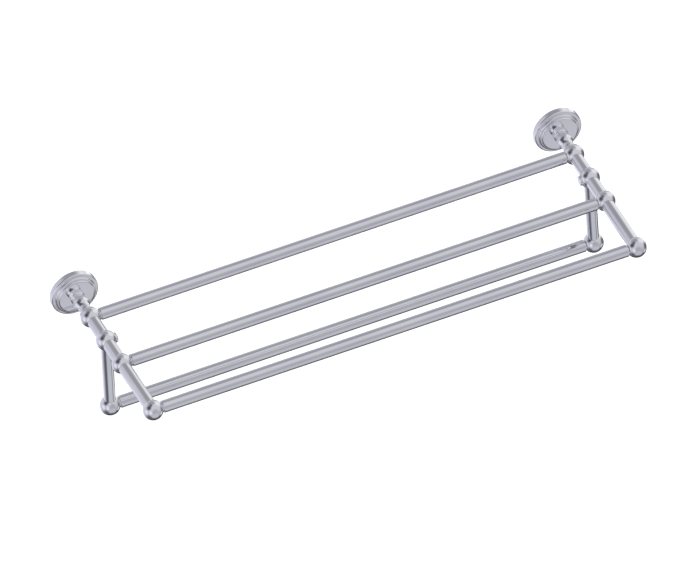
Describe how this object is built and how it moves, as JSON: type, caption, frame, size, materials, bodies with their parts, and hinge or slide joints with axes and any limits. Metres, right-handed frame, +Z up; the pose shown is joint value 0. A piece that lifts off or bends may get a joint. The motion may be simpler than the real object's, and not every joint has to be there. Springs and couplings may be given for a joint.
{
  "type": "wall-mounted towel rack",
  "caption": "Wall-mounted chrome towel rack with a level shelf of round bars and a lower towel bar, on turned arms with ball fittings and round stepped flanges.",
  "frame": {"origin": "centre of the left wall plate's back face, on the wall, at the height of the arms", "axes": "+X along the bars from the left arm to the right arm, +Y into the wall, +Z up; the rack stands out from the wall towards -Y"},
  "size_m": [0.6576, 0.2348, 0.1406],
  "materials": {
    "polished_chrome": "polished chrome plate on turned brass and brass tube",
    "zinc_plated_steel": "bright zinc plate on mild steel, satin",
    "black_steel": "black oxide on alloy steel"
  },
  "bodies": {
    "root": {"left_wall_plate": "zinc_plated_steel", "left_flange": "polished_chrome", "left_flange_set_screw": "black_steel", "left_tie_washer": "zinc_plated_steel", "left_tie_nut": "zinc_plated_steel", "left_tie_rod": "zinc_plated_steel", "left_neck": "polished_chrome", "left_rear_bar_ball": "polished_chrome", "left_drop_post_ball": "polished_chrome", "left_middle_bar_ball": "polished_chrome", "left_front_bar_ball": "polished_chrome", "left_lower_bar_ball": "polished_chrome", "left_arm_tube_rear": "polished_chrome", "left_arm_tube_middle": "polished_chrome", "left_arm_tube_front": "polished_chrome", "left_drop_post": "polished_chrome", "left_blanking_plug": "polished_chrome", "left_rear_bar_insert": "polished_chrome", "left_middle_bar_insert": "polished_chrome", "left_front_bar_insert": "polished_chrome", "left_lower_bar_insert": "polished_chrome", "left_drop_post_stud": "zinc_plated_steel", "left_rear_bar_grub_screw": "black_steel", "left_middle_bar_grub_screw": "black_steel", "left_front_bar_grub_screw": "black_steel", "left_lower_bar_grub_screw": "black_steel", "right_wall_plate": "zinc_plated_steel", "right_flange": "polished_chrome", "right_flange_set_screw": "black_steel", "right_tie_washer": "zinc_plated_steel", "right_tie_nut": "zinc_plated_steel", "right_tie_rod": "zinc_plated_steel", "right_neck": "polished_chrome", "right_rear_bar_ball": "polished_chrome", "right_drop_post_ball": "polished_chrome", "right_middle_bar_ball": "polished_chrome", "right_front_bar_ball": "polished_chrome", "right_lower_bar_ball": "polished_chrome", "right_arm_tube_rear": "polished_chrome", "right_arm_tube_middle": "polished_chrome", "right_arm_tube_front": "polished_chrome", "right_drop_post": "polished_chrome", "right_blanking_plug": "polished_chrome", "right_rear_bar_insert": "polished_chrome", "right_middle_bar_insert": "polished_chrome", "right_front_bar_insert": "polished_chrome", "right_lower_bar_insert": "polished_chrome", "right_drop_post_stud": "zinc_plated_steel", "right_rear_bar_grub_screw": "black_steel", "right_middle_bar_grub_screw": "black_steel", "right_front_bar_grub_screw": "black_steel", "right_lower_bar_grub_screw": "black_steel", "rear_bar": "polished_chrome", "middle_bar": "polished_chrome", "front_bar": "polished_chrome", "lower_bar": "polished_chrome"}
  },
  "joints": []
}
